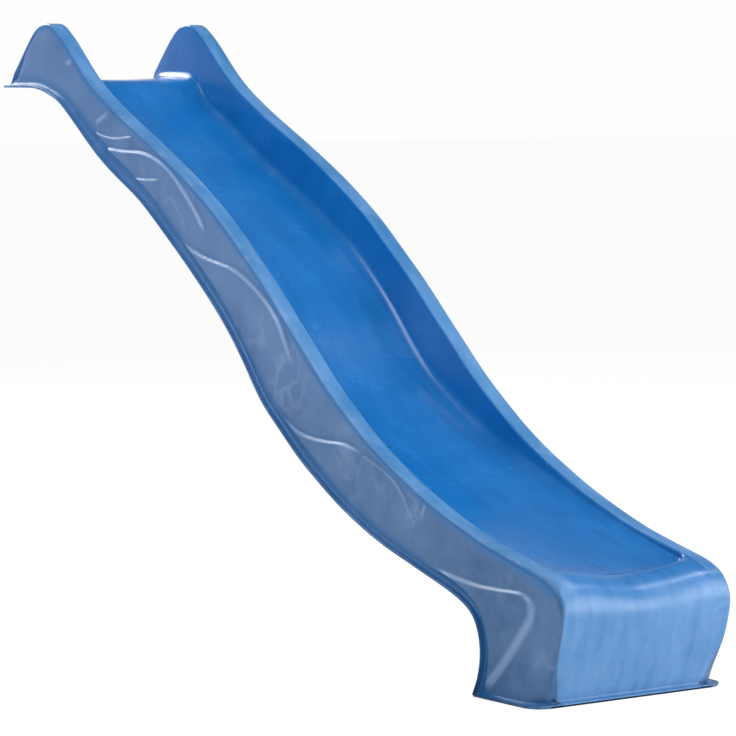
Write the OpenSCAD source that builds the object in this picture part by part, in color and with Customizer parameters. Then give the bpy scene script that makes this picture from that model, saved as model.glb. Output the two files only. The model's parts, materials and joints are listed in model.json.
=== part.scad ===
// Wave slide for a play tower: a hollow moulding in two skins that meet at a flat flange,
// with its fixing hardware. X runs across the slide, Y from the nose to the platform, Z up.
// The origin is on the ground, below the middle of the slide.

/* [Overall] */
// Height of the platform deck that the lip rests on
platform_height = 1500; // [1300:10:1600]
// Length from the end of the lip to the tip of the nose
overall_length = 2620; // [2400:10:2900]
// Width over the side walls, without the flange
body_width = 554; // [480:2:640]
// Height of the hand grips above the lip
grip_height = 170; // [130:5:200]

/* [Moulding] */
// Wall of the moulding
wall = 3; // [2.5:0.5:5]
// Depth of the flange, both skins together
flange_depth = 8; // [6:1:10]
// Depth of the lip at its edges
lip_depth = 16; // [14:1:22]
// Width of the flange where the two skins meet, on the sides
flange_width = 17; // [14:1:26]
// Width of the flange at the end of the lip and at the front of the foot
end_flange = 14; // [10:1:18]
// Width of the rim along the top of each side
rim_width = 57; // [46:1:64]
// Rounding of the rim's edges
rim_radius = 12; // [8:1:14]
// How much narrower each side is at the rim than at the flange
side_draft = 5; // [2:1:8]
// How far the foot of the inner wall leans into the bed
wall_lean = 9; // [4:1:14]
// Rounding between the inner wall and the bed
bed_fillet = 38; // [24:1:46]
// Dish of the bed: how far its edges lie above its middle
bed_dish = 22; // [10:1:28]
// Corner radius of the foot, seen from above
foot_corner = 78; // [60:1:90]
// How much wider the foot is at the ground than the body, on each side
foot_flare = 16; // [4:1:22]
// Corner radius of the flange round the foot, seen from above
flange_corner = 34; // [24:1:44]
// Space between the bed and the underside, outside to outside
bed_depth = 36; // [30:1:44]
// Rise of the lip's middle above its edges
lip_crown = 7; // [3:1:12]

/* [Tack-offs] */
// Number of tack-offs along the bed
tack_rows = 7; // [3:2:7]
// Distance from one tack-off to the next, level
tack_pitch = 225; // [150:5:230]
// Place of the middle tack-off along the slide
tack_middle = -90; // [-150:5:50]
// Diameter of a tack-off where it meets the bed
tack_top = 30; // [20:1:40]
// Diameter of a tack-off where it leaves the underside
tack_foot = 54; // [44:1:64]
// Gap of the weld between a tack-off and the bed
tack_gap = 0.4; // [0.1:0.1:0.5]

/* [Fixings] */
// Distance between the two fixing holes in the lip
lip_hole_spacing = 300; // [200:5:360]
// Distance of the lip's fixing holes from its end
lip_hole_inset = 75; // [60:1:110]
// Bore of the lip's sleeves, for an 8 mm bolt
lip_bore = 8.5; // [8.2:0.1:10]
// Outer diameter of the lip's sleeves
sleeve_diameter = 14; // [12:0.5:18]
// Distance between the two ground anchor inserts
anchor_spacing = 320; // [200:5:360]
// Bore of the ground anchor inserts, for an 8 mm thread
anchor_bore = 8; // [6:0.5:10]
// Outer diameter of the barrel of an anchor insert
insert_diameter = 14; // [12:0.5:20]
// Length of an anchor insert
insert_length = 26; // [20:1:40]
// Diameter of the plug in the blowing hole
plug_diameter = 26; // [18:1:32]
// Clearance around each fitted piece, on the radius
fit_clearance = 0.1; // [0.05:0.05:0.3]

/* [Hidden] */
$fn = 48;
blue = "#1f6fb8";
half_width = body_width / 2;
ky = overall_length / 2620;
kz = platform_height / 1500;
deck = platform_height + lip_depth;
deck_depth = lip_depth + lip_crown;
nose_y = -1310 * ky;
tip_y = -1250 * ky;
root_y = tip_y + end_flange;
lip_y = nose_y + overall_length;
base_back = -1002 * ky;
anchor_y = (base_back + root_y) / 2;
// The foot begins to flare at this height, and the corners of the lip have no rounding
flare_height = 150;
lip_rows = 10;
// The dish grows to its full depth over this many stations, and takes at most this share of the
// trough where the trough is shallow
dish_rows = 26;
dish_share = 0.3;
// Heights over which the draft of the sides and the lean of the inner walls grow to their full size
draft_height = 60;
lean_height = 100;
// The rim is at least this many times as wide as its rounding
rim_least = 2.6;
// A rounding takes at most these shares of the height it has: outside, inside and at the bed
outside_share = 0.35;
inside_share = 0.4;
fillet_share = 0.45;
// A quarter round has one point between its ends, this share of its radius from the corner
round_middle = 0.3;
// The dish has one column between its edge and its middle, this share of the way out
dish_column = 0.5;
// Width of the shoulder where the underside curves down to its flange, and the shares of its
// width and of its rise that each of its columns has
shoulder = 52;
shoulder_curve = [[0, 0], [0.27, 0.25], [0.65, 0.8], [1, 1]];
// The underside begins this far inside the wall's outline, and its next column from the middle
// stands this share of the way out
flange_inside = 3 * wall;
under_column = 0.36;
// Length of the slope from the lip's deck down to its end flange
lip_slope = 5;
// Drop of the deck where the bed begins
deck_drop = 4;
// How far the lip's sleeves end below the deck's outside
sleeve_inset = 0.5;

// The slide is lofted through stations. Each one joins a point of the rim, one of the middle
// of the bed and one of the flange, all as [y, z]. The last value says how far the underside
// follows the bed: 0 is flat between the flanges, 1 is a constant depth below the bed.
function at(y, z) = [y * ky, z * kz];
function grip(y, share) = [y * ky, deck + share * grip_height];
function lip(y, rise) = [y, platform_height + rise];
function base(y) = [y, 0];
flange_start = lip_y - end_flange;
deck_end = flange_start - lip_slope;
lip_stations = [
    [lip(lip_y, flange_depth), lip(lip_y, flange_depth), lip(lip_y, 0), 0],
    [lip(flange_start, flange_depth), lip(flange_start, flange_depth), lip(flange_start, 0), 0],
    [lip(deck_end, lip_depth), lip(deck_end, lip_depth), lip(deck_end, 0), 0],
];
body_stations = [
    [grip(1278, 0.18), lip(1262 * ky, deck_depth), lip(1262 * ky, 0), 0],
    [grip(1187, 0.75), lip(1185 * ky, deck_depth), lip(1190 * ky, 0), 0],
    [grip(1134, 0.97), lip(1120 * ky, deck_depth), lip(1140 * ky, -1), 0],
    [grip(1080, 1.00), lip(1065 * ky, deck_depth - deck_drop), at(1090, 1492), 0.3],
    [grip(1035, 0.86), at(1020, 1492), at(1035, 1476), 0.8],
    [at(985, 1623), at(962, 1432), at(975, 1449), 1],
    [at(880, 1532), at(860, 1375), at(880, 1381), 1],
    [at(770, 1462), at(745, 1306), at(765, 1302), 1],
    [at(665, 1407), at(640, 1246), at(655, 1238), 1],
    [at(560, 1356), at(535, 1193), at(550, 1182), 1],
    [at(457, 1304), at(430, 1138), at(440, 1106), 1],
    [at(356, 1250), at(330, 1079), at(333, 1028), 1],
    [at(256, 1190), at(230, 1017), at(225, 944), 1],
    [at(158, 1124), at(130, 937), at(130, 862), 1],
    [at(61, 1048), at(35, 846), at(35, 762), 1],
    [at(-34, 972), at(-60, 746), at(-45, 668), 1],
    [at(-128, 888), at(-150, 670), at(-128, 599), 1],
    [at(-221, 806), at(-240, 614), at(-221, 528), 1],
    [at(-312, 727), at(-325, 567), at(-312, 471), 1],
    [at(-402, 660), at(-412, 525), at(-402, 420), 1],
    [at(-490, 600), at(-500, 490), at(-500, 374), 1],
    [at(-578, 549), at(-590, 459), at(-600, 335), 1],
    [at(-664, 506), at(-680, 431), at(-700, 304), 1],
    [at(-749, 467), at(-770, 405), at(-800, 274), 1],
    [at(-832, 434), at(-850, 383), at(-880, 249), 0.9],
    [at(-915, 405), at(-930, 361), at(-945, 222), 0.65],
    [at(-996, 380), at(-1005, 341), at(-986, 188), 0.3],
    [at(-1076, 360), at(-1080, 322), at(-1006, 140), 0.08],
    [at(-1150, 343), at(-1152, 306), at(-1012, 88), 0],
    [at(-1215, 329), at(-1215, 297), at(-1008, 40), 0],
];
// Down the front of the foot the flange goes round the foot's corner in ever shorter steps
foot_stations = [
    [at(-1262, 313), at(-1262, 287), base(base_back), 0],
    [at(-1290, 290), at(-1290, 270), base(-1030 * ky), 0],
    [at(-1306, 258), at(-1306, 246), base(-1070 * ky), 0],
    [at(-1309, 226), at(-1309, 222), base(-1110 * ky), 0],
    [at(-1302, 186), at(-1302, 186), base(root_y + 1.3 * foot_corner), 0],
    [at(-1289, 142), at(-1289, 142), base(root_y + 0.85 * foot_corner), 0],
    [at(-1274, 100), at(-1274, 100), base(root_y + 0.5 * foot_corner), 0],
    [at(-1258, 62), at(-1258, 62), base(root_y + 0.22 * foot_corner), 0],
    [at(-1246, 30), at(-1246, 30), base(root_y + 0.05 * foot_corner), 0],
    [[root_y, flange_depth], [root_y, flange_depth], base(root_y), 0],
    [[tip_y, flange_depth], [tip_y, flange_depth], base(tip_y), 0],
];

// Smooth curve through the body stations, with one new station in each gap
function blend(a, b, c, d, t) =
    0.5 * (2 * b + (c - a) * t + (2 * a - 5 * b + 4 * c - d) * t * t
    + (3 * b - a - 3 * c + d) * t * t * t);
function station_blend(s, i, t) = let (last = len(s) - 1)
    [for (k = [0:3]) blend(s[max(i - 1, 0)][k], s[i][k], s[i + 1][k], s[min(i + 2, last)][k], t)];
fine_body = [for (i = [0:len(body_stations) - 2], t = [0, 0.5]) station_blend(body_stations, i, t)];
stations = concat(lip_stations, fine_body, [body_stations[len(body_stations) - 1]], foot_stations);
last = len(stations) - 1;

// Where the moulding is cut into zones, as station numbers
lip_end = len(lip_stations) + 8;
nose_start = last - len(foot_stations);
base_start = nose_start - 6;

// Half widths at a station: the wall's outline and the flange's, with the foot's round corners
function corner(radius, reach) =
    reach >= radius ? 0 : radius - sqrt(max(0, radius * radius - pow(radius - reach, 2)));
function flare(i) = i < lip_rows ? 0
    : foot_flare * (1 - min(1, max(0, stations[i][2][1]) / (flare_height * kz)));
function wall_half(i) = i == last ? half_width - foot_corner - wall
    : half_width + flare(i)
      - (i < lip_rows ? 0 : corner(foot_corner, max(0, stations[i][2][0] - root_y)));
function flange_half(i) = half_width + flange_width + flare(i)
    - (i < lip_rows ? 0 : corner(flange_corner, max(0, stations[i][2][0] - tip_y)));

// Upper skin, outer side. Columns run from the flange over the rim to the middle of the bed.
function unit(v) = v / max(norm(v), 0.001);
function toward_rim(i) = unit(stations[i][0] - stations[i][2]);
function point(x, p) = [x, p[0], p[1]];
function half_section(i) = let (
    rim = stations[i][0],
    bed = stations[i][1],
    up = toward_rim(i),
    flange = stations[i][2] + up * flange_depth,
    free = max(0, norm(rim - stations[i][2]) - flange_depth),
    depth = (rim - bed) * up,
    hollow = max(0, depth),
    round_up = min(rim_radius, outside_share * free),
    round_in = min(rim_radius, inside_share * hollow),
    dish = hollow > 0 ? min(bed_dish, dish_share * hollow) * min(1, max(0.2, i / dish_rows)) : 0,
    edge = hollow > 0 ? bed + up * dish : rim,
    fillet = min(bed_fillet, fillet_share * max(0, hollow - dish)),
    outer = wall_half(i) - flare(i) - side_draft * min(1, free / draft_height),
    inner = min(half_width - rim_width, outer - rim_least * rim_radius),
    foot = inner - wall_lean * min(1, hollow / lean_height)
) [
    point(flange_half(i), flange),
    point(wall_half(i), flange),
    point(outer, rim - up * round_up),
    point(outer - round_middle * rim_radius, rim - up * round_middle * round_up),
    point(outer - rim_radius, rim),
    point(inner + rim_radius, rim),
    point(inner + round_middle * rim_radius, rim - up * round_middle * round_in),
    point(inner, rim - up * round_in),
    point(foot, edge + up * fillet),
    point(foot - round_middle * bed_fillet, edge + up * round_middle * fillet),
    point(foot - bed_fillet, edge),
    point(dish_column * (foot - bed_fillet), bed + (edge - bed) * pow(dish_column, 2)),
    point(0, bed),
];
half = 12;
wide = 2 * half;
function mirrored(row) = concat([for (p = row) [-p[0], p[1], p[2]]], [for (k = [half - 1:-1:0]) row[k]]);
outer_skin = [for (i = [0:last]) mirrored(half_section(i))];

// A grid moved by the wall along its own normals
function slope(g, i, j) = let (n = len(g) - 1, m = len(g[0]) - 1)
    unit(cross(g[min(i + 1, n)][j] - g[max(i - 1, 0)][j], g[i][min(j + 1, m)] - g[i][max(j - 1, 0)]));
function moved(g, depth) = [for (i = [0:len(g) - 1])
    [for (j = [0:len(g[0]) - 1]) g[i][j] + slope(g, i, j) * depth]];
drawn_in = moved(outer_skin, -wall);

// On the flange the inner side is the seam itself, at half the flange's depth
function seam(i) = stations[i][2] + toward_rim(i) * flange_depth / 2;
function seam_line(i) = seam(i) + [i == 1 ? -wall : i == last - 1 ? wall : 0, 0];
function inner_point(i, j) = let (
    k = min(j, wide - j),
    side = j < half ? -1 : 1,
    end = i < 2 || i > last - 2,
    x = k == 0 ? flange_half(i) : min(abs(outer_skin[i][j][0]), wall_half(i) - wall - k + 1)
) k < 2 || end ? point(side * x, seam_line(i)) : drawn_in[i][j];
inner_skin = [for (i = [0:last]) [for (j = [0:wide]) inner_point(i, j)]];

// Lower skin, columns from flange to flange
low_half = len(shoulder_curve) + 1;
low_wide = 2 * low_half + 1;
function lower_section(i) = let (
    up = toward_rim(i),
    low = stations[i][2],
    rise = stations[i][3] * ((stations[i][1] - low) * up - bed_depth),
    side = wall_half(i) - flange_inside,
    curve = [for (c = shoulder_curve) point(side - c[0] * shoulder, low + up * rise * c[1])]
) concat([point(flange_half(i), low)], curve, [point(side * under_column, low + up * rise)]);
function lower_row(row) = concat([for (p = row) [-p[0], p[1], p[2]]], [for (k = [low_half:-1:0]) row[k]]);
lower_outside = [for (i = [0:last]) lower_row(lower_section(i))];
lower_drawn = moved(lower_outside, wall);
lower_inside = [for (i = [0:last]) [for (j = [0:low_wide])
    j < 2 || j > low_wide - 2 || i < 2 || i > last - 2
        ? point(lower_outside[i][j][0], seam(i))
        : lower_drawn[i][j]]];

// Closed slab between two grids, over stations i0 to i1 and columns j0 to j1
module slab(outside, inside, i0, i1, j0, j1) {
    rows = i1 - i0 + 1;
    cols = j1 - j0 + 1;
    count = rows * cols;
    points = concat([for (i = [i0:i1], j = [j0:j1]) outside[i][j]],
                    [for (i = [i0:i1], j = [j0:j1]) inside[i][j]]);
    skins = [for (i = [0:rows - 2], j = [0:cols - 2]) let (a = i * cols + j, b = a + cols)
        each [[a, a + 1, b], [a + 1, b + 1, b],
              [count + a, count + b, count + a + 1], [count + a + 1, count + b, count + b + 1]]];
    ends = [for (j = [0:cols - 2]) let (b = (rows - 1) * cols + j)
        each [[j, count + j, j + 1], [j + 1, count + j, count + j + 1],
              [b, b + 1, count + b], [b + 1, count + b + 1, count + b]]];
    sides = [for (i = [0:rows - 2]) let (a = i * cols, b = a + cols, c = a + cols - 1, d = b + cols - 1)
        each [[a, b, count + a], [b, count + b, count + a],
              [c, count + c, d], [d, count + c, count + d]]];
    polyhedron(points, concat(skins, ends, sides));
}

module upper_zone(i0, i1, j0, j1) {
    slab(outer_skin, inner_skin, i0, i1, j0, j1);
}

// Columns where the rounding below the inner walls meets the bed
left_seam = 10;
right_seam = wide - left_seam;

// Deck of the lip, with the holes for the sleeves
module platform_lip() {
    color(blue) difference() {
        upper_zone(0, lip_end, left_seam, right_seam);
        sleeve_places() cylinder(h = 2 * deck_depth, r = sleeve_diameter / 2 + fit_clearance);
    }
}

// Sliding surface between the side walls
module slide_bed() {
    color(blue) upper_zone(lip_end, nose_start, left_seam, right_seam);
}

// Hollow side with its hand grip, rim, inner wall and flange
module left_side() {
    color(blue) upper_zone(0, last, 0, left_seam);
}

module right_side() {
    color(blue) upper_zone(0, last, right_seam, wide);
}

// Run-out over the round nose and down the front of the foot
module nose() {
    color(blue) upper_zone(nose_start, last, left_seam, right_seam);
}

// Lower skin from the lip to the back of the foot
module underside() {
    color(blue) difference() {
        slab(lower_inside, lower_outside, 0, base_start, 0, low_wide);
        sleeve_places() cylinder(h = 4 * wall, r = sleeve_diameter / 2 + fit_clearance, center = true);
        tack_places() cylinder(h = 2 * bed_depth, r = tack_foot / 2 + fit_clearance, center = true);
    }
}

// Back and bottom of the hollow foot
module foot_base() {
    color(blue) difference() {
        slab(lower_inside, lower_outside, base_start, last, 0, low_wide);
        insert_places() cylinder(h = 4 * wall, r = insert_diameter / 2 + fit_clearance, center = true);
        plug_place() cylinder(h = 4 * wall, r = plug_diameter / 2 + fit_clearance, center = true);
    }
}

module sleeve_places() {
    for (side = [-1, 1])
        translate([side * lip_hole_spacing / 2, lip_y - lip_hole_inset, platform_height]) children();
}

// Height of the deck's outside at a place of the lip. The dish rises with the square of x.
deck_rows = [for (i = [lip_end:-1:0]) outer_skin[i]];
function deck_at(x, y) = let (
    middle = lookup(y, [for (row = deck_rows) [row[half][1], row[half][2]]]),
    edge = lookup(y, [for (row = deck_rows) [row[left_seam][1], row[left_seam][2]]]),
    reach = lookup(y, [for (row = deck_rows) [row[left_seam][1], -row[left_seam][0]]])
) middle + (edge - middle) * pow(x / reach, 2);

// Tubes that carry the clamping force of the fixing bolts through the hollow lip. They end just
// below the deck's outside.
sleeve_length = deck_at(lip_hole_spacing / 2, lip_y - lip_hole_inset) - sleeve_inset - platform_height;
module lip_sleeves() {
    color("silver") sleeve_places() difference() {
        cylinder(h = sleeve_length, r = sleeve_diameter / 2);
        translate([0, 0, -1]) cylinder(h = sleeve_length + 2, r = lip_bore / 2);
    }
}

module insert_places() {
    for (side = [-1, 1]) translate([side * anchor_spacing / 2, anchor_y, 0]) children();
}

// Threaded inserts for the ground anchors, with a collar that bears on the inside of the base
module anchor_inserts() {
    color("silver") insert_places() difference() {
        union() {
            cylinder(h = insert_length, r = insert_diameter / 2);
            translate([0, 0, wall]) cylinder(h = wall, r = insert_diameter / 2 + 2 * wall);
        }
        translate([0, 0, -1]) cylinder(h = insert_length + 2, r = anchor_bore / 2);
    }
}

module plug_place() {
    translate([0, anchor_y, 0]) children();
}

// Plug that closes the blowing hole in the bottom of the foot
module blow_plug() {
    color("#1a5fa0") plug_place() {
        cylinder(h = wall, r = plug_diameter / 2);
        translate([0, 0, wall]) cylinder(h = wall, r = plug_diameter / 2 + wall);
    }
}

// Hollow cones that rise from the underside and are welded to the bed
module tack_offs() {
    color(blue) tack_places() rotate_extrude() polygon([
        [tack_foot / 2, 0],
        [tack_top / 2, $length],
        [0, $length],
        [0, $length - wall],
        [tack_top / 2 - wall, $length - wall],
        [tack_foot / 2 - wall, 0],
    ]);
}

// Places of the tack-offs, each square to the bed. $length is the way from the underside's
// outer face to the bed's inner face.
bed_line = [for (i = [last:-1:0]) [inner_skin[i][half][1], inner_skin[i][half][2]]];
low_line = [for (i = [last:-1:0]) [lower_outside[i][low_half][1], lower_outside[i][low_half][2]]];
function bed_at(y) = [y, lookup(y, bed_line)];
module tack_places() {
    for (k = [0:tack_rows - 1]) {
        y = tack_middle * ky + (k - (tack_rows - 1) / 2) * tack_pitch;
        tangent = unit(bed_at(y + 1) - bed_at(y - 1));
        square = [-tangent[1], tangent[0]];
        // A bed that curves away from the tack-off's flat top lowers that top
        bend = max([for (end = [-1, 1]) (bed_at(y) - bed_at(y + end * tangent[0] * tack_top / 2)) * square]);
        head = bed_at(y) - square * (tack_gap + max(0, bend));
        guess = head - square * bed_depth;
        $length = bed_depth + (guess[1] - lookup(guess[0], low_line)) * square[1];
        foot = head - square * $length;
        translate([0, foot[0], foot[1]]) rotate([atan2(tangent[1], tangent[0]), 0, 0]) children();
    }
}

platform_lip();
slide_bed();
left_side();
right_side();
nose();
underside();
foot_base();
tack_offs();
lip_sleeves();
anchor_inserts();
blow_plug();
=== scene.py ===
"""The wave slide with its finished surfaces: the hollow moulding in its two skins, the hardware
that fixes it, a pale floor, soft light and the camera."""

import json
import math

import bpy
import numpy as np
from mathutils import Matrix, Vector


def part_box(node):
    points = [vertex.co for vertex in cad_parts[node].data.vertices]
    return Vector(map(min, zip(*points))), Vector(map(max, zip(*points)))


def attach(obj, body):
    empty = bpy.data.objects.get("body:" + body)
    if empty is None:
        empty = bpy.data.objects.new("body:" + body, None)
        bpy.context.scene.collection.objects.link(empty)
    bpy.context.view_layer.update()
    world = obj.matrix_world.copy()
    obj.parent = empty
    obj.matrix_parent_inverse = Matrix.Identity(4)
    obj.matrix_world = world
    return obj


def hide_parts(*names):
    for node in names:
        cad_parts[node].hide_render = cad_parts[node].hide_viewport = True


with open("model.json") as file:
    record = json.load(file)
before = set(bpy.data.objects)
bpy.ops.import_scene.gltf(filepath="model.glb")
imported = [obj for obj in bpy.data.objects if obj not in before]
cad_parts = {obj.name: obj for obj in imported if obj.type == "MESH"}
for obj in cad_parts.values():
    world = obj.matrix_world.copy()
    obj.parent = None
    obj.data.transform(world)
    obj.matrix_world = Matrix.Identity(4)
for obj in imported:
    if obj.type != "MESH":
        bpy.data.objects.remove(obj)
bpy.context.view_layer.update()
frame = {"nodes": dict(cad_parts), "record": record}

# ---------------------------------------------------------------------------------------------
# The upper skin: the bed, the two sides with their rims and hand grips, the lip and the nose.
# It is one half of a hollow polyethylene moulding, blown against a polished mould, and the
# waves, the leg panel and the strokes on its sides are cut into that mould.

DECK = frame["record"]["mounts"][0]["pos_m"][2]
HALF_LENGTH = (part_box("left_side")[1].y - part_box("left_side")[0].y) / 2
WALL_X = 0.277
RIM_WIDE = 0.057
RIM_LEAST = 2.6 * 0.012
SEAM_UP = 0.004
FLANGE_UP = 0.008
FLANGE_WIDE = 0.017
FOOT_FLARE = 0.016
FLARE_TOP = 0.15
FOOT_ROUND = 0.066
FLANGE_ROUND = 0.050
LIP_ROUND = 0.012
DRAFT = 0.005
RIM_EDGE = 0.006
LEAN = 0.009
BED_DISH = 0.022
TIP_Y = -1.250
ROOT_Y = TIP_Y + 0.014
BASE_BACK = -1.002

# Each station joins a point of the rim, one of the middle of the bed and one of the flange, all
# as y and z. The first thirty run down the body, and the rest go round the nose and the foot.
BODY = [
    (1.278, 1.547, 1.262, 1.523, 1.262, 1.500),
    (1.187, 1.644, 1.185, 1.523, 1.190, 1.500),
    (1.134, 1.681, 1.120, 1.523, 1.140, 1.499),
    (1.080, 1.686, 1.065, 1.519, 1.090, 1.492),
    (1.035, 1.662, 1.020, 1.492, 1.035, 1.476),
    (0.985, 1.623, 0.962, 1.432, 0.975, 1.449),
    (0.880, 1.532, 0.860, 1.375, 0.880, 1.381),
    (0.770, 1.462, 0.745, 1.306, 0.765, 1.302),
    (0.665, 1.407, 0.640, 1.246, 0.655, 1.238),
    (0.560, 1.356, 0.535, 1.193, 0.550, 1.182),
    (0.457, 1.304, 0.430, 1.138, 0.440, 1.106),
    (0.356, 1.250, 0.330, 1.079, 0.333, 1.028),
    (0.256, 1.190, 0.230, 1.017, 0.225, 0.944),
    (0.158, 1.124, 0.130, 0.937, 0.130, 0.862),
    (0.061, 1.048, 0.035, 0.846, 0.035, 0.762),
    (-0.034, 0.972, -0.060, 0.746, -0.045, 0.668),
    (-0.128, 0.888, -0.150, 0.670, -0.128, 0.599),
    (-0.221, 0.806, -0.240, 0.614, -0.221, 0.528),
    (-0.312, 0.727, -0.325, 0.567, -0.312, 0.471),
    (-0.402, 0.660, -0.412, 0.525, -0.402, 0.420),
    (-0.490, 0.600, -0.500, 0.490, -0.500, 0.374),
    (-0.578, 0.549, -0.590, 0.459, -0.600, 0.335),
    (-0.664, 0.506, -0.680, 0.431, -0.700, 0.304),
    (-0.749, 0.467, -0.770, 0.405, -0.800, 0.274),
    (-0.832, 0.434, -0.850, 0.383, -0.880, 0.249),
    (-0.915, 0.405, -0.930, 0.361, -0.945, 0.222),
    (-0.996, 0.380, -1.005, 0.341, -0.986, 0.188),
    (-1.076, 0.360, -1.080, 0.322, -1.006, 0.140),
    (-1.150, 0.343, -1.152, 0.306, -1.012, 0.088),
    (-1.215, 0.329, -1.215, 0.297, -1.008, 0.040),
]
FOOT = [
    (-1.262, 0.313, -1.262, 0.287, BASE_BACK),
    (-1.290, 0.290, -1.290, 0.270, -1.030),
    (-1.306, 0.258, -1.306, 0.246, -1.070),
    (-1.309, 0.226, -1.309, 0.222, -1.110),
    (-1.302, 0.186, -1.302, 0.186, ROOT_Y + 1.3 * FOOT_ROUND),
    (-1.289, 0.142, -1.289, 0.142, ROOT_Y + 0.85 * FOOT_ROUND),
    (-1.274, 0.100, -1.274, 0.100, ROOT_Y + 0.5 * FOOT_ROUND),
    (-1.258, 0.062, -1.258, 0.062, ROOT_Y + 0.22 * FOOT_ROUND),
    (-1.246, 0.030, -1.246, 0.030, ROOT_Y + 0.05 * FOOT_ROUND),
]
# How far the underside follows the bed at each station of the body: 1 is all the way
FOLLOWS = [0, 0, 0, 0.3, 0.8] + [1] * 19 + [0.9, 0.65, 0.3, 0.08, 0, 0] + [0] * len(FOOT)


def smooth_curve(knots, at):
    """A curve with no kink through the knots, which stand at 0, 1, 2 and so on."""
    knots = np.asarray(knots, float)
    count = len(knots)
    system = np.eye(count)
    pull = np.zeros_like(knots)
    for k in range(1, count - 1):
        system[k, k - 1:k + 2] = (1, 4, 1)
        pull[k] = 6 * (knots[k - 1] - 2 * knots[k] + knots[k + 1])
    bend = np.linalg.solve(system, pull)
    k = np.clip(np.floor(at).astype(int), 0, count - 2)
    t = (at - k)[:, None] if knots.ndim > 1 else at - k
    s = 1 - t
    return (s * knots[k] + t * knots[k + 1]
            + ((s ** 3 - s) * bend[k] + (t ** 3 - t) * bend[k + 1]) / 6)


def ease(x):
    """0 below 0, 1 above 1, and a soft step between."""
    x = np.clip(x, 0, 1)
    return x * x * (3 - 2 * x)


def round_off(radius, reach):
    """How far a plan's corner is cut back at a given reach from its end."""
    inside = np.clip(radius - reach, 0, radius)
    return radius - np.sqrt(np.maximum(radius ** 2 - inside ** 2, 0))


def body_lines(at):
    """Rim, bed and flange at the given stations, each as y and z."""
    upper = smooth_curve([row[:4] for row in BODY] + [row[:4] for row in FOOT], at)
    corner = len(BODY)
    above = smooth_curve([row[4:] for row in BODY] + [(BASE_BACK, 0.0)], np.minimum(at, corner))
    along = smooth_curve([row[4] for row in FOOT], np.maximum(at - corner, 0))
    flange = np.where((at < corner)[:, None], above, np.stack([along, 0 * along], 1))
    return upper[:, :2], upper[:, 2:], flange


# Rows are spread evenly along the body, counting the rim, the bed and the flange alike
ROW_STEP = 0.0050
fine = np.linspace(0, len(BODY) + len(FOOT) - 1, 8000)
lengths = sum(np.hypot(*np.diff(line, axis=0).T) for line in body_lines(fine)) / 3
walked = np.concatenate([[0], np.cumsum(lengths)])
at = np.interp(np.linspace(0, walked[-1], int(walked[-1] / ROW_STEP)), walked, fine)
rim, bed, flange = body_lines(at)

# Rows of the flat lip behind the grips and of the flange in front of the foot are added at the
# two ends: y, height of the skin above the seam's face, and the share of the flange's depth
LIP_Y = HALF_LENGTH
LIP_DEPTH = 0.016
lip_rows = [(LIP_Y - 0.0006, 0.50), (LIP_Y, 0.62), (LIP_Y, 0.80), (LIP_Y - 0.0007, 0.93),
            (LIP_Y - 0.002, 1.00), (LIP_Y - 0.006, 1.00), (LIP_Y - 0.010, 1.00)]
deck_rows = [(LIP_Y - 0.012 - 0.010 * s,
              FLANGE_UP + (LIP_DEPTH - FLANGE_UP) * (1 - math.cos(math.pi * s)) / 2)
             for s in np.linspace(0.1, 1.0, 7)]
lip_lines = np.array([(y, DECK + FLANGE_UP * share, y, DECK) for y, share in lip_rows]
                     + [(y, DECK + up, y, DECK) for y, up in deck_rows])
front_rows = [(ROOT_Y + 0.0006, 0.0155), (ROOT_Y - 0.0009, 0.0120), (ROOT_Y - 0.0030, 0.0096),
              (ROOT_Y - 0.0055, FLANGE_UP), (TIP_Y + 0.0050, FLANGE_UP), (TIP_Y + 0.0020, FLANGE_UP),
              (TIP_Y + 0.0007, 0.93 * FLANGE_UP), (TIP_Y, 0.80 * FLANGE_UP), (TIP_Y, 0.62 * FLANGE_UP),
              (TIP_Y + 0.0006, SEAM_UP)]
front_lines = np.array([(y, up, y, 0.0) for y, up in front_rows])
rim = np.vstack([lip_lines[:, :2], rim, front_lines[:, :2]])
bed = np.vstack([lip_lines[:, :2], bed, front_lines[:, :2]])
flange = np.vstack([lip_lines[:, 2:], flange, front_lines[:, 2:]])
at = np.concatenate([np.full(len(lip_lines), -1.0), at, np.full(len(front_lines), len(BODY) + 8.0)])
flange_share = np.ones(len(at))
flange_share[:len(lip_rows)] = [share for _, share in lip_rows]
flange_share[-4:] = [0.93, 0.80, 0.62, 0.50]
rows = len(at)

climb = rim - flange
rise = np.maximum(np.hypot(*climb.T), 1e-6)
up = climb / rise[:, None]
up[at < 0] = (0, 1)
up[at > len(BODY) + 7.9] = (0, 1)
in_foot = at > 20

wall_x = WALL_X - np.where(in_foot, round_off(FOOT_ROUND, flange[:, 0] - ROOT_Y), 0)
flange_x = (WALL_X + FLANGE_WIDE
            + np.where(in_foot, FOOT_FLARE * (1 - np.clip(flange[:, 1] / FLARE_TOP, 0, 1)) ** 2, 0)
            - np.where(in_foot, round_off(FLANGE_ROUND, flange[:, 0] - TIP_Y), 0)
            - np.where(at < 2, round_off(LIP_ROUND, LIP_Y - flange[:, 0]), 0))

depth = np.sum((rim - bed) * up, axis=1)
hollow = np.maximum(depth, 0)
free = np.maximum(rise - FLANGE_UP * flange_share, 0)
dish = np.minimum(BED_DISH, 0.3 * hollow) * np.clip(at / 14, 0.2, 1)
bed_edge = np.where((hollow > 0)[:, None], bed + up * dish[:, None], rim)


def along(values):
    """A size that changes from station to station, given as station and size pairs."""
    stations, sizes = zip(*values)
    return np.interp(at, stations, sizes)


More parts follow.
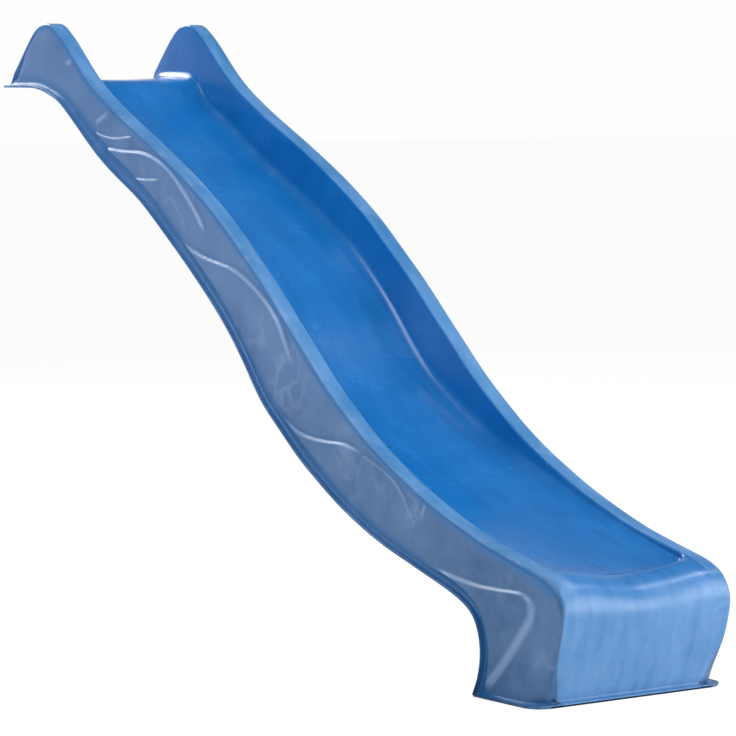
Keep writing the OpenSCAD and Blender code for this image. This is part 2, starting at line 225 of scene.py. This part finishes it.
flange_fillet = np.minimum(along([(0, 0.013), (4, 0.014), (7, 0.026), (10, 0.022), (14, 0.012),
                                  (24, 0.010), (39, 0.010)]), 0.5 * free)
rim_outer = np.minimum(along([(0, 0.007), (24, 0.008), (28, 0.016), (30, 0.024), (32, 0.014),
                              (33, 0.010), (35, 0.014), (38, 0.030)]), 0.45 * free)
rim_inner = np.minimum(RIM_EDGE, 0.4 * hollow)
fillet = np.minimum(along([(0, 0.026), (8, 0.026), (14, 0.038), (20, 0.040), (29, 0.038)]),
                    0.45 * np.maximum(hollow - dish, 0))
fillet_x = along([(0, 0.028), (8, 0.028), (14, 0.040), (20, 0.042), (29, 0.040)])
outer_x = wall_x - DRAFT * np.clip(free / 0.06, 0, 1)
inner_x = np.minimum(WALL_X - RIM_WIDE, outer_x - RIM_LEAST)
foot_x = inner_x - LEAN * np.clip(hollow / 0.1, 0, 1)
edge_x = foot_x - fillet_x


def place(x, line, lift=0.0):
    """Points of one column: half widths x, and a line of y and z, lifted along the section."""
    x = np.broadcast_to(x, (rows,))
    yz = line + up * np.broadcast_to(lift, (rows,))[:, None]
    return np.column_stack([x, yz])


def arc(corner, start, end, count):
    """Columns of a quarter round in a corner. start and end lead from it to the round's ends."""
    turns = np.linspace(0, math.pi / 2, count)
    return [corner + start * (1 - math.sin(turn)) + end * (1 - math.cos(turn)) for turn in turns]


def between(a, b, count):
    """Columns spread evenly between two, without the two themselves."""
    return [a + (b - a) * k / (count + 1) for k in range(1, count + 1)]


ACROSS = np.tile((1.0, 0.0, 0.0), (rows, 1))
UPWARD = np.column_stack([np.zeros(rows), up])

# From the seam over the flange's rounded edge to the side's foot
flange_up = FLANGE_UP * flange_share
seam_up = SEAM_UP * np.ones(rows)
columns = [place(flange_x - back, flange, seam_up + (flange_up - seam_up) * lift)
           for back, lift in ((0.0008, 0.0), (0.0, 0.15), (0.0, 0.5), (0.0006, 0.84), (0.0018, 1.0))]
root = place(wall_x, flange, flange_up)
root_arc = arc(root, ACROSS * flange_fillet[:, None], UPWARD * flange_fillet[:, None], 9)
columns += between(columns[-1], root_arc[0], 2) + root_arc

# The side, and over the rim into the inner wall
SIDE_COLUMNS = 66
shoulder = place(outer_x, rim)
rim_arc = arc(shoulder, -UPWARD * rim_outer[:, None], -ACROSS * rim_outer[:, None], 9)
side_start = len(columns)
columns += between(columns[-1], rim_arc[0], SIDE_COLUMNS)
side_end = len(columns)
columns += rim_arc
inner = place(inner_x, rim)
wall_foot = place(foot_x, bed_edge)
wall_way = wall_foot - inner
wall_way /= np.maximum(np.linalg.norm(wall_way, axis=1), 1e-6)[:, None]
wall_way = np.where((hollow > 0.002)[:, None], wall_way, -UPWARD)
inner_arc = arc(inner, ACROSS * np.full((rows, 1), RIM_EDGE), wall_way * rim_inner[:, None], 8)
columns += between(columns[-1], inner_arc[0], 12)
rim_end = len(columns)
columns += inner_arc

# The inner wall, the fillet at its foot and the dished bed
bed_rim = place(edge_x, bed_edge)
slope_up = 2 * dish * fillet_x / np.maximum(edge_x, 0.01)
corner = place(foot_x, bed_edge, np.where(hollow > 0.002, slope_up, 0))
fillet_arc = arc(corner, -wall_way * fillet[:, None], bed_rim - corner, 14)
columns += between(columns[-1], fillet_arc[0], 12) + fillet_arc
for share in np.linspace(1, 0, 34)[1:]:
    x = edge_x * share
    flat = np.where(hollow > 0, dish * share ** 2, 0)
    line = np.where((hollow > 0)[:, None], bed, rim)
    columns.append(place(x, line, flat))
half = np.stack(columns, axis=1)

# Past the end of the bed the walls give way to one wide hollow, which dies out over the nose
basin = 1 - ease((at - 28.2) / 1.2)
step_in = np.linspace(0, 1, half.shape[1] - rim_end)
reach = inner_x + RIM_EDGE
for k, share in enumerate(step_in):
    sink = hollow * (1 - math.cos(math.pi * share)) / 2
    bowl = place(reach * (1 - share), rim, -sink)
    half[:, rim_end + k] = half[:, rim_end + k] * basin[:, None] + bowl * (1 - basin[:, None])

# How the skin looks at each point: the bed, the inner walls and the lip's deck are polished and
# the outside has a frost finish; the flank is painted darker than the rim as painted shade; the
# roundings at the flank's two edges are a deeper, clearer blue, partly painted shade; and the crests of the
# relief get a painted highlight
flank = np.zeros(half.shape[:2])
flank[:, :side_end + 5] = 1
# The roundings at the flank's edges take a deeper blue with less frost, which is partly painted shade
rich = np.zeros(half.shape[:2])
up_side = np.linspace(0, 1, side_end - side_start)
length = np.maximum(free, 0.05)[:, None]
rich[:, side_start:side_end] = (ease(1 - up_side * length / 0.030) * 0.7
                                + ease(1 - (1 - up_side) * length / 0.024)) * (at < 31)[:, None]
rich[:, side_end:side_end + 4] = ((at < 31) * 1.0)[:, None]
rich[:, side_start - 9:side_start] = 0.7
# The crests of the relief and the strokes are painted pale as a painted highlight
worn = np.zeros(half.shape[:2])
polish = np.zeros(half.shape[:2])
polish[:, rim_end + 3:] = np.clip(1.25 - 0.25 * np.maximum(at - 27.5, 0), 0, 1)[:, None]
polish[at < 0] = 1


# Relief of the side, as outward steps along lines drawn on it in y and z. Below a line the skin
# stands proud, and it eases back further down.
def drawn(points):
    """Fine points along a line drawn through a few."""
    return smooth_curve(points, np.linspace(0, len(points) - 1, 40 * (len(points) - 1)))


def from_line(points, y, z):
    """Distance from a line drawn towards the foot, positive above it, and the share along it."""
    line = drawn(points)
    tangent = np.gradient(line, axis=0)
    tangent /= np.linalg.norm(tangent, axis=1)[:, None]
    away = np.full(y.shape, 9.0)
    nearest = np.zeros(y.shape, int)
    for k, point in enumerate(line):
        gap = np.hypot(y - point[0], z - point[1])
        closer = gap < away
        away[closer] = gap[closer]
        nearest[closer] = k
    side = ((y - line[nearest, 0]) * tangent[nearest, 1] - (z - line[nearest, 1]) * tangent[nearest, 0])
    return np.sign(side) * away, nearest / (len(line) - 1)


# Waves, as the line of each and the height of its step
WAVES = [
    ([(0.060, 0.762), (0.009, 0.711), (-0.119, 0.634), (-0.230, 0.587), (-0.345, 0.578),
      (-0.416, 0.576), (-0.501, 0.555)], 0.0075),
    ([(0.470, 1.128), (0.328, 1.064), (0.218, 1.032), (0.114, 1.012), (0.027, 0.976),
      (-0.044, 0.933), (-0.096, 0.888), (-0.133, 0.834), (-0.194, 0.726)], 0.0075),
    ([(0.835, 1.340), (0.668, 1.323), (0.567, 1.319), (0.458, 1.288), (0.372, 1.231), (0.287, 1.154),
      (0.242, 1.092)], 0.0075),
    ([(0.759, 1.296), (0.615, 1.250), (0.459, 1.248)], 0.0050),
    ([(0.823, 1.377), (0.731, 1.359), (0.614, 1.366)], 0.0040),
    ([(-0.490, 0.556), (-0.518, 0.546), (-0.619, 0.503), (-0.683, 0.440), (-0.721, 0.385)], 0.0040),
]
FIN = [(-0.360, 0.418), (-0.398, 0.409), (-0.474, 0.388), (-0.606, 0.334), (-0.692, 0.313), (-0.777, 0.299),
       (-0.860, 0.288), (-0.942, 0.277), (-1.023, 0.272), (-1.103, 0.273), (-1.150, 0.273),
       (-1.180, 0.262), (-1.194, 0.240), (-1.190, 0.215), (-1.172, 0.190), (-1.124, 0.130),
       (-1.060, 0.055), (-0.985, -0.030)]
STROKES = [
    ([(-0.764, 0.476), (-0.752, 0.444), (-0.738, 0.412)], 0.0012, 0.004),
    ([(0.818, 1.398), (0.790, 1.412), (0.741, 1.433)], 0.0016, 0.006),
    ([(0.990, 1.578), (0.962, 1.573), (0.938, 1.596), (0.905, 1.612)], 0.0016, 0.006),
]
HORN = [(1.110, 1.690), (1.164, 1.632), (1.199, 1.602), (1.213, 1.570), (1.228, 1.541), (1.238, 1.510)]

side = half[:, side_start:side_end]
y, z = side[:, :, 1], side[:, :, 2]
span = np.linspace(0, 1, side.shape[1])[None, :]
edge_room = ease(span / 0.10) * ease((1 - span) / 0.07)
relief = np.zeros(y.shape)
# Painted highlight along the crests of the waves, the leg panel and the strokes
crest_highlight_side = np.zeros(y.shape)
for points, height in WAVES:
    gap, share = from_line(points, y, z)
    ends = ease(share / 0.12) * ease((1 - share) / 0.12)
    below = np.maximum(-gap, 0)
    step = ease(0.5 - gap / 0.008) * np.exp(-(below / 0.075) ** 2)
    hollowed = ease(0.5 + gap / 0.03) * np.exp(-(np.maximum(gap, 0) / 0.040) ** 2)
    crest_highlight_side += ends * height / 0.0075 * np.exp(-((gap + 0.001) / 0.0035) ** 2)
    relief += ends * (height * step - 0.3 * height * hollowed * ease(0.5 + gap / 0.008))
gap, share = from_line(FIN, y, z)
leg_wide = 0.008 + 0.008 * ease((share - 0.60) / 0.12)
begun = ease((-y - 0.34) / 0.10)
relief += 0.0100 * ease(0.5 - gap / leg_wide) * begun
crest_highlight_side += 0.9 * np.exp(-(gap / (0.55 * leg_wide)) ** 2) * begun
for points, height, wide in STROKES:
    gap, share = from_line(points, y, z)
    stroke = np.exp(-(gap / wide) ** 2) * ease(share / 0.3) * ease((1 - share) / 0.3)
    relief += height * stroke
    crest_highlight_side += 0.8 * stroke
gap, share = from_line(HORN, y, z)
behind = np.where(y > 1.0, np.maximum(-gap, 0), 0)
horn_back = 0.26 * (np.sqrt(behind ** 2 + 0.004 ** 2) - 0.004)
relief = relief * edge_room
side[:, :, 0] += relief - horn_back * ease(span / 0.10)
worn[:, side_start:side_end] = np.clip(crest_highlight_side * edge_room, 0, 1)

# Below the flare's top the side turns out to meet the wide flange round the foot
low_x = half[:, :side_end + 9, :]
flared = FOOT_FLARE * (1 - np.clip(low_x[:, :, 2] / FLARE_TOP, 0, 1)) ** 2 * in_foot[:, None]
flared[:, :5] = 0
low_x[:, :, 0] += flared

# Mirror the half section, leaving its middle column single, and skin it
skin = np.concatenate([half * (-1, 1, 1), half[:, -2::-1]], axis=1)
looks = {"polish": polish, "flank": flank, "rich": rich, "worn": worn}
looks = {name: np.concatenate([share, share[:, -2::-1]], axis=1) for name, share in looks.items()}


def skin_mesh(name, grid, looks, outward=1):
    """A mesh object over a grid of points, shaded smooth, with its looks at each point."""
    count, across = grid.shape[:2]
    row, column = np.meshgrid(np.arange(count - 1), np.arange(across - 1), indexing="ij")
    first = (row * across + column).ravel()
    faces = np.stack([first, first + 1, first + across + 1, first + across], axis=1)
    if outward < 0:
        faces = faces[:, ::-1]
    mesh = bpy.data.meshes.new(name)
    mesh.from_pydata(grid.reshape(-1, 3).tolist(), [], faces.tolist())
    mesh.update()
    mesh.shade_smooth()
    for look, share in looks.items():
        layer = mesh.attributes.new(look, "FLOAT", "POINT")
        layer.data.foreach_set("value", share.ravel().astype(np.float32))
    piece = bpy.data.objects.new(name, mesh)
    bpy.context.scene.collection.objects.link(piece)
    return piece


upper_moulding = skin_mesh("upper_moulding", skin, looks)


class Value:
    """A number or colour that a material works out, so that its maths reads as sums."""

    def __init__(self, finish, socket):
        self.finish = finish
        self.socket = socket

    def maths(self, operation, *others):
        node = self.finish.add("ShaderNodeMath", {"operation": operation})
        for k, item in enumerate((self, *others)):
            self.finish.join(item, node.inputs[k])
        return Value(self.finish, node.outputs[0])

    def __add__(self, other):
        return self.maths("ADD", other)

    def __sub__(self, other):
        return self.maths("SUBTRACT", other)

    def __mul__(self, other):
        return self.maths("MULTIPLY", other)

    def __rsub__(self, other):
        return (self * -1).maths("ADD", other)

    __radd__ = __add__
    __rmul__ = __mul__

    def clamped(self, low, high):
        """0 at low, 1 at high, straight between."""
        return ((self - low) * (1 / (high - low))).maths("MAXIMUM", 0.0).maths("MINIMUM", 1.0)


class Finish:
    """The nodes of a material, or of the studio's surround."""

    def __init__(self, owner, shader="Principled BSDF"):
        owner.use_nodes = True
        self.material = owner
        self.tree = owner.node_tree
        self.shader = self.tree.nodes[shader]

    def join(self, item, socket):
        if isinstance(item, Value):
            self.tree.links.new(item.socket, socket)
        else:
            socket.default_value = item

    def add(self, kind, settings=None, **inputs):
        node = self.tree.nodes.new(kind)
        for name, setting in (settings or {}).items():
            setattr(node, name, setting)
        for name, item in inputs.items():
            self.join(item, node.inputs[name.replace("_", " ")])
        return node

    def out(self, node, name):
        return Value(self, node.outputs[name])

    def noise(self, where, scale, detail=3.0, roughness=0.5):
        node = self.add("ShaderNodeTexNoise", Vector=where, Scale=scale, Detail=detail, Roughness=roughness)
        return self.out(node, "Fac")

    def stretched(self, where, scale):
        node = self.add("ShaderNodeMapping", Vector=where)
        node.inputs["Scale"].default_value = scale
        return self.out(node, "Vector")

    def mixed(self, share, a, b):
        node = self.add("ShaderNodeMix", {"data_type": "RGBA"})
        self.join(share, node.inputs[0])
        self.join(a, node.inputs[6])
        self.join(b, node.inputs[7])
        return Value(self, node.outputs[2])

    def set(self, **inputs):
        for name, item in inputs.items():
            self.join(item, self.shader.inputs[name.replace("_", " ")])


# The polyethylene: a deep blue where the mould is polished and a paler, milky one where it has a
# frost finish, paler partly as a painted sheen, with soft streaks, pale streaks on the outside painted
# as highlights, painted shade on the flank, a fine ripple, and faint rub marks in its gloss
moulding = Finish(bpy.data.materials.new("blue_polyethylene"))
here = moulding.out(moulding.add("ShaderNodeTexCoord"), "Object")
parts = moulding.add("ShaderNodeSeparateXYZ", Vector=here)
above_floor = moulding.out(parts, "Z")
streaks = moulding.noise(moulding.stretched(here, (9.0, 1.6, 1.6)), 3.0, 5.0, 0.6)
clouds = moulding.noise(here, 7.0, 4.0, 0.55)
specks = moulding.noise(here, 60.0, 3.0, 0.6)
tone = streaks * 0.55 + clouds * 0.35 + specks * 0.10
polished, flank_share, rich_shade_share, crest_highlight_share = [
    moulding.out(moulding.add("ShaderNodeAttribute", {"attribute_name": name}), "Fac")
    for name in ("polish", "flank", "rich", "worn")]
BLUE_DEEP = (0.003, 0.125, 0.400, 1)
BLUE_CLEAR = (0.008, 0.160, 0.480, 1)
# Frost blues: a frost finish, painted paler in part as a painted sheen
FROST_AND_SHEEN_DEEP = (0.032, 0.170, 0.400, 1)
FROST_AND_SHEEN_PALE = (0.095, 0.255, 0.530, 1)
# Flank blues: painted shade, the low one darker than the high one
FLANK_SHADE_LOW = (0.006, 0.078, 0.220, 1)
FLANK_SHADE_HIGH = (0.050, 0.135, 0.330, 1)
PALE_FLANK = (0.120, 0.240, 0.470, 1)
# Deeper blue of the edge roundings: less frost, and partly painted shade
RICH_BLUE_AND_SHADE = (0.010, 0.130, 0.370, 1)
# Pale colour of the painted highlights
PAINTED_HIGHLIGHT = (0.330, 0.480, 0.720, 1)
shade = tone.clamped(0.38, 0.62)
# Thin pale streaks over the outside, painted highlights
warped = moulding.add("ShaderNodeVectorMath", {"operation": "MULTIPLY_ADD"})
drift = moulding.add("ShaderNodeTexNoise", Vector=here, Scale=5.0, Detail=2.0)
moulding.join(moulding.out(drift, "Color"), warped.inputs[0])
warped.inputs[1].default_value = (0.20, 0.20, 0.20)
moulding.join(here, warped.inputs[2])
thread = moulding.noise(moulding.out(warped, "Vector"), 9.0, 2.0, 0.5)
ridge = 1 - (thread - 0.5).maths("ABSOLUTE") * 13
highlight_streaks = ridge.maths("MAXIMUM", 0.0) * moulding.noise(here, 4.0, 2.0, 0.5).clamped(0.48, 0.66)
# The flank painted darker as painted shade, and darker still towards the floor
flank_shade_base = moulding.mixed(above_floor.clamped(0.30, 1.00), FLANK_SHADE_LOW, FLANK_SHADE_HIGH)
flank_shaded_colour = moulding.mixed(0.5 * shade, flank_shade_base, PALE_FLANK)
# The colour of the frost finish, with its painted sheen, the flank's painted shade and painted highlights
frost_with_painted_light = moulding.mixed(flank_share, moulding.mixed(shade, FROST_AND_SHEEN_DEEP, FROST_AND_SHEEN_PALE), flank_shaded_colour)
# Painted highlight streaks
frost_with_painted_light = moulding.mixed(0.22 * highlight_streaks, frost_with_painted_light, PAINTED_HIGHLIGHT)
# Deeper blue in the edge roundings, partly painted shade
frost_with_painted_light = moulding.mixed(0.8 * rich_shade_share, frost_with_painted_light, RICH_BLUE_AND_SHADE)
# Painted highlight on the crests of the relief
frost_with_painted_light = moulding.mixed(0.55 * crest_highlight_share, frost_with_painted_light, PAINTED_HIGHLIGHT)
colour = moulding.mixed(polished, frost_with_painted_light, moulding.mixed(shade, BLUE_DEEP, BLUE_CLEAR))
rub = moulding.noise(moulding.stretched(here, (46.0, 3.0, 3.0)), 2.2, 4.0, 0.7)
gloss = 0.32 + 0.14 * clouds.clamped(0.35, 0.68) - 0.16 * polished + 0.05 * rub.clamped(0.50, 0.75)
ripple = moulding.noise(here, 16.0, 2.0, 0.5) * 0.8 + moulding.noise(here, 70.0, 3.0, 0.5) * 0.10
bumped = moulding.add("ShaderNodeBump", Strength=0.30, Distance=0.003, Height=ripple)
moulding.set(Base_Color=colour, Roughness=gloss, Normal=moulding.out(bumped, "Normal"))
moulding.shader.inputs["IOR"].default_value = 1.52

upper_moulding.data.materials.append(moulding.material)
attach(upper_moulding, "root")
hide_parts("platform_lip", "slide_bed", "left_side", "right_side", "nose")

# ---------------------------------------------------------------------------------------------
# The under skin: the back of the same moulding, which follows the bed at a constant depth, with
# cone shaped tack-offs pressed up to the bed, and which closes the foot below and behind.

BED_DEPTH = 0.036
SHOULDER = 0.052
UNDER_INSET = 0.009
TACK_MIDDLE = -0.090
TACK_PITCH = 0.225
TACK_COUNT = 7
TACK_RISE = 0.033
TACK_OUTER = 0.031
TACK_SLOPE = 0.016
TACK_NEAR = 0.05
follow = np.interp(at, np.arange(len(FOLLOWS)), FOLLOWS)
belly = follow * (np.sum((bed - flange) * up, axis=1) - BED_DEPTH)
under = [place(flange_x - back, flange, seam_up * lift)
         for back, lift in ((0.0008, 1.0), (0.0, 0.8), (0.0, 0.45), (0.0006, 0.14), (0.0018, 0.0))]
side_x = wall_x - UNDER_INSET
under += between(under[-1], place(side_x, flange), 3)
for share in np.linspace(0, 1, 18):
    under.append(place(side_x - SHOULDER * share, flange, belly * ease(share)))
for share in np.linspace(1, 0, 40)[1:]:
    under.append(place((side_x - SHOULDER) * share, flange, belly))
under = np.stack(under, axis=1)
under = np.concatenate([under * (-1, 1, 1), under[:, -2::-1]], axis=1)
for k in range(TACK_COUNT):
    middle_y = TACK_MIDDLE + (k - (TACK_COUNT - 1) / 2) * TACK_PITCH
    row = np.argmin(np.abs(bed[:, 0] - middle_y) + 9 * (follow < 0.5))
    square = np.array([0.0, *up[row]])
    centre = under[row, under.shape[1] // 2]
    gap = under - centre
    radius = np.linalg.norm(gap - (gap @ square)[:, :, None] * square, axis=2)
    near = np.linalg.norm(gap, axis=2) < TACK_NEAR
    under += (TACK_RISE * ease((TACK_OUTER - radius) / TACK_SLOPE) * near)[:, :, None] * square
# The under skin takes the flank's colour all over, with its painted shade
under_moulding = skin_mesh("under_moulding", under, {"flank": np.ones(under.shape[:2])}, -1)
under_moulding.data.materials.append(moulding.material)
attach(under_moulding, "root")
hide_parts("underside", "foot_base", "tack_offs")

# ---------------------------------------------------------------------------------------------
# The sleeves in the lip: aluminium tube cut to the lip's depth, so that the fixing bolts don't
# crush the hollow moulding. They are drawn tube, with faint lines along it.

sleeve = Finish(bpy.data.materials.new("drawn_aluminium"))
place_on = sleeve.out(sleeve.add("ShaderNodeTexCoord"), "Object")
lines = sleeve.noise(sleeve.stretched(place_on, (900.0, 900.0, 30.0)), 1.0, 2.0)
sleeve.set(Base_Color=(0.62, 0.63, 0.65, 1), Metallic=1.0, Roughness=0.28 + 0.18 * lines)
frame["nodes"]["lip_sleeves"].data.materials.clear()
frame["nodes"]["lip_sleeves"].data.materials.append(sleeve.material)

# ---------------------------------------------------------------------------------------------
# The anchor inserts: turned brass, moulded into the bottom of the foot. A bolt from the ground
# anchor screws into each.

insert = Finish(bpy.data.materials.new("turned_brass"))
place_on = insert.out(insert.add("ShaderNodeTexCoord"), "Object")
rings = insert.noise(insert.stretched(place_on, (20.0, 20.0, 1400.0)), 1.0, 2.0)
insert.set(Base_Color=(0.60, 0.42, 0.17, 1), Metallic=1.0, Roughness=0.24 + 0.2 * rings)
frame["nodes"]["anchor_inserts"].data.materials.clear()
frame["nodes"]["anchor_inserts"].data.materials.append(insert.material)

# ---------------------------------------------------------------------------------------------
# The plug: a push-in polyethylene disc that closes the hole where the moulding was blown.

plug = Finish(bpy.data.materials.new("plug_polyethylene"))
place_on = plug.out(plug.add("ShaderNodeTexCoord"), "Object")
grain = plug.noise(place_on, 120.0, 3.0)
plug_bump = plug.add("ShaderNodeBump", Strength=0.4, Distance=0.0006, Height=plug.noise(place_on, 800.0))
plug.set(Base_Color=plug.mixed(grain.clamped(0.4, 0.6), (0.008, 0.10, 0.32, 1), (0.012, 0.13, 0.38, 1)),
         Roughness=0.45 + 0.15 * grain, Normal=plug.out(plug_bump, "Normal"))
frame["nodes"]["blow_plug"].data.materials.clear()
frame["nodes"]["blow_plug"].data.materials.append(plug.material)

# ---------------------------------------------------------------------------------------------
# The floor, the light and the camera: a pale studio with six soft lights around the slide, and a
# long lens a little above its middle. The camera looks down by less than five degrees.

floor_mesh = bpy.data.meshes.new("studio_floor")
FLOOR = 60.0
floor_mesh.from_pydata([(-FLOOR, -FLOOR, -0.001), (FLOOR, -FLOOR, -0.001), (FLOOR, FLOOR, -0.001),
                        (-FLOOR, FLOOR, -0.001)], [], [(0, 1, 2, 3)])
floor = bpy.data.objects.new("studio_floor", floor_mesh)
bpy.context.scene.collection.objects.link(floor)
floor_paint = Finish(bpy.data.materials.new("studio_floor"))
floor_paint.set(Base_Color=(0.20, 0.20, 0.20, 1), Roughness=0.9, Emission_Color=(1, 1, 1, 1),
                Emission_Strength=0.89)
floor_mesh.materials.append(floor_paint.material)

# The surround is white near the floor, and darkens overhead and to the left
world = bpy.data.worlds.new("studio")
surround = Finish(world, "Background")
look_at = surround.out(surround.add("ShaderNodeTexCoord"), "Generated")
view = surround.add("ShaderNodeSeparateXYZ", Vector=look_at)
fades = []
for axis, low, high, at_low, at_high in (("Z", 0.10, 0.50, 0.99, 0.16), ("X", -0.90, 0.20, 0.45, 1.00)):
    fade = surround.add("ShaderNodeMapRange", {"interpolation_type": "SMOOTHSTEP"}, From_Min=low,
                        From_Max=high, To_Min=at_low, To_Max=at_high, Value=surround.out(view, axis))
    fades.append(surround.out(fade, "Result"))
surround.set(Color=(1.0, 1.0, 1.0, 1), Strength=fades[0] * fades[1])
bpy.context.scene.world = world
bpy.context.scene.view_settings.view_transform = "Standard"


def soft_light(name, direction, away, size, radiance):
    """A square soft light that faces the slide from a direction, with an even brightness."""
    lamp = bpy.data.lights.new(name, "AREA")
    lamp.size = size
    lamp.energy = radiance * math.pi * size ** 2
    lit = bpy.data.objects.new(name, lamp)
    middle = Vector((0.0, -0.2, 0.8))
    lit.location = middle + Vector(direction).normalized() * away
    lit.rotation_euler = (middle - lit.location).to_track_quat("-Z", "Y").to_euler()
    bpy.context.scene.collection.objects.link(lit)


soft_light("overhead", (0.30, 0.125, 0.945), 7.0, 0.35, 20.0)
soft_light("above_the_nose", (0.586, -0.300, 0.752), 7.0, 0.8, 30.0)
soft_light("above_the_front", (0.10, -0.65, 0.75), 6.0, 3.2, 5.5)
soft_light("front", (0.62, -0.78, 0.15), 6.0, 3.2, 5.0)
soft_light("left", (-0.72, -0.05, 0.69), 6.0, 3.0, 5.5)
soft_light("behind", (-0.07, 0.80, 0.57), 6.5, 2.6, 11.0)

lens = bpy.data.cameras.new("camera")
lens.sensor_width = 36.0
lens.lens = 173.2
lens.clip_end = 200.0
camera = bpy.data.objects.new("camera", lens)
turn, tilt = math.radians(-36.013), math.radians(4.733)
back = Vector((math.sin(turn) * math.cos(tilt), -math.cos(turn) * math.cos(tilt), math.sin(tilt)))
right = Vector((math.cos(turn), math.sin(turn), 0))
stand = Matrix((right, back.cross(right), back)).transposed().to_4x4()
stand.translation = (-5.629, -7.879, 1.538)
camera.matrix_world = stand
bpy.context.scene.collection.objects.link(camera)
bpy.context.scene.camera = camera
